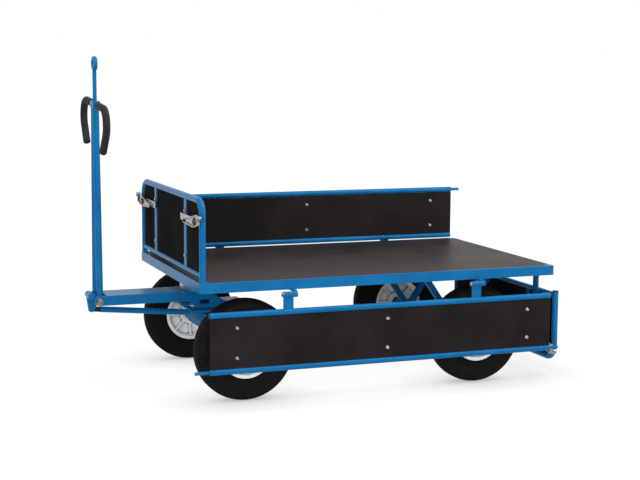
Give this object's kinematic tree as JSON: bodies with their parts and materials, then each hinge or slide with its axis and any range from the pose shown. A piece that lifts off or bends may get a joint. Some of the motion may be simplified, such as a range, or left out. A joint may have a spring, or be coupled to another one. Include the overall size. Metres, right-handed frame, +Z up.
{
  "type": "hand cart",
  "caption": "Flat platform hand cart with hinged drop sides, a turntable-steered front axle, air tyres and a tilting drawbar with hook handles and a towing eye.",
  "frame": {"origin": "floor level under the middle of the whole outline, drawbar included", "axes": "+X to the rear along the deck, +Y to the side whose wall stands up at rest, +Z up"},
  "size_m": [1.9966, 1.0806, 1.3955],
  "materials": {
    "blue_paint": "gloss",
    "film_plywood": "satin",
    "zinc_plate": "satin",
    "bare_steel": "satin",
    "black_steel": "satin",
    "tyre_rubber": "matte",
    "rim_silver": "satin",
    "grip_foam": "matte",
    "black_plastic": "matte"
  },
  "bodies": {
    "chassis": {"side_rails": "blue_paint", "end_rails": "blue_paint", "cross_members": "blue_paint", "deck_board": "film_plywood", "turntable_plate": "blue_paint", "turntable_upper_race": "bare_steel", "rear_axle_beam": "blue_paint", "rear_axle_struts": "blue_paint", "rear_axle_nuts": "zinc_plate", "hinge_knuckles": "blue_paint", "hinge_pins": "zinc_plate", "front_wall_frame": "blue_paint", "front_wall_panel": "film_plywood", "front_wall_bolts": "zinc_plate", "front_latch_plates": "zinc_plate"},
    "bogie": {"turntable_lower_race": "bare_steel", "turntable_balls": "bare_steel", "steering_arm": "blue_paint", "bogie_cheeks": "blue_paint", "front_axle_beam": "blue_paint", "front_axle_struts": "blue_paint", "front_axle_nuts": "zinc_plate", "drawbar_bolt": "zinc_plate"},
    "drawbar": {"drawbar_frame": "blue_paint", "towing_eye": "blue_paint", "handle_tubes": "blue_paint", "handle_grips": "grip_foam"},
    "brake_rod_body": {"brake_rod": "blue_paint", "brake_rod_eye": "black_steel"},
    "brake_shaft_body": {"brake_shaft": "blue_paint"},
    "near_wall": {"near_wall_frame": "blue_paint", "near_wall_straps": "blue_paint", "near_wall_panel": "film_plywood", "near_wall_bolts": "zinc_plate"},
    "far_wall": {"far_wall_frame": "blue_paint", "far_wall_straps": "blue_paint", "far_wall_panel": "film_plywood", "far_wall_bolts": "zinc_plate"},
    "rear_wall": {"rear_wall_frame": "blue_paint", "rear_wall_straps": "blue_paint", "rear_wall_panel": "film_plywood", "rear_wall_bolts": "zinc_plate", "rear_wall_caps": "black_plastic", "rear_latch_plates": "zinc_plate"},
    "front_near_wheel": {"front_near_tyre": "tyre_rubber", "front_near_rim": "rim_silver", "front_near_bearings": "bare_steel"},
    "front_near_latch_lever": {"front_near_latch": "zinc_plate"},
    "front_far_wheel": {"front_far_tyre": "tyre_rubber", "front_far_rim": "rim_silver", "front_far_bearings": "bare_steel"},
    "front_far_latch_lever": {"front_far_latch": "zinc_plate"},
    "rear_near_wheel": {"rear_near_tyre": "tyre_rubber", "rear_near_rim": "rim_silver", "rear_near_bearings": "bare_steel"},
    "rear_near_latch_lever": {"rear_near_latch": "zinc_plate"},
    "rear_far_wheel": {"rear_far_tyre": "tyre_rubber", "rear_far_rim": "rim_silver", "rear_far_bearings": "bare_steel"},
    "rear_far_latch_lever": {"rear_far_latch": "zinc_plate"}
  },
  "joints": [
    {"name": "steering", "type": "hinge", "parent": "chassis", "child": "bogie", "pos_m": [-0.43375, 0, 0.398], "axis": [0, 0, 1], "range_deg": [-50, 50]},
    {"name": "drawbar_tilt", "type": "hinge", "parent": "bogie", "child": "drawbar", "pos_m": [-0.95475, 0, 0.372], "axis": [0, -1, 0], "range_deg": [0, 105]},
    {"name": "brake_rod_swing", "type": "hinge", "parent": "drawbar", "child": "brake_rod_body", "pos_m": [-0.97475, 0, 0.333], "axis": [0, -1, 0], "range_deg": [-107.62, 1]},
    {"name": "brake_shaft_turn", "type": "hinge", "parent": "bogie", "child": "brake_shaft_body", "pos_m": [-0.31675, 0, 0.165], "axis": [0, 1, 0], "range_deg": [-0.5, 32.31]},
    {"name": "front_near_wheel_roll", "type": "hinge", "parent": "bogie", "child": "front_near_wheel", "pos_m": [-0.43375, -0.428, 0.21], "axis": [0, 1, 0], "continuous": true},
    {"name": "front_far_wheel_roll", "type": "hinge", "parent": "bogie", "child": "front_far_wheel", "pos_m": [-0.43375, 0.428, 0.21], "axis": [0, 1, 0], "continuous": true},
    {"name": "rear_near_wheel_roll", "type": "hinge", "parent": "chassis", "child": "rear_near_wheel", "pos_m": [0.61325, -0.428, 0.21], "axis": [0, 1, 0], "continuous": true},
    {"name": "rear_far_wheel_roll", "type": "hinge", "parent": "chassis", "child": "rear_far_wheel", "pos_m": [0.61325, 0.428, 0.21], "axis": [0, 1, 0], "continuous": true},
    {"name": "near_wall_drop", "type": "hinge", "parent": "chassis", "child": "near_wall", "pos_m": [0.16325, -0.525, 0.4425], "axis": [-1, 0, 0], "range_deg": [0, 180]},
    {"name": "far_wall_drop", "type": "hinge", "parent": "chassis", "child": "far_wall", "pos_m": [0.16325, 0.525, 0.4425], "axis": [-1, 0, 0], "range_deg": [0, 180]},
    {"name": "rear_wall_drop", "type": "hinge", "parent": "chassis", "child": "rear_wall", "pos_m": [0.96725, 0, 0.4425], "axis": [0, -1, 0], "range_deg": [0, 180]},
    {"name": "front_near_latch_turn", "type": "hinge", "parent": "chassis", "child": "front_near_latch_lever", "pos_m": [-0.64625, -0.44, 0.743], "axis": [-1, 0, 0], "range_deg": [-10, 40]},
    {"name": "front_far_latch_turn", "type": "hinge", "parent": "chassis", "child": "front_far_latch_lever", "pos_m": [-0.64625, 0.44, 0.743], "axis": [1, 0, 0], "range_deg": [-10, 40]},
    {"name": "rear_near_latch_turn", "type": "hinge", "parent": "rear_wall", "child": "rear_near_latch_lever", "pos_m": [0.96075, -0.44, 0.142], "axis": [1, 0, 0], "range_deg": [-10, 40]},
    {"name": "rear_far_latch_turn", "type": "hinge", "parent": "rear_wall", "child": "rear_far_latch_lever", "pos_m": [0.96075, 0.44, 0.142], "axis": [-1, 0, 0], "range_deg": [-10, 40]}
  ],
  "couplings": [
    {"joint": "brake_rod_swing", "follows": "drawbar_tilt", "ratio": -1.0135},
    {"joint": "brake_shaft_turn", "follows": "drawbar_tilt", "ratio": 0.303}
  ]
}
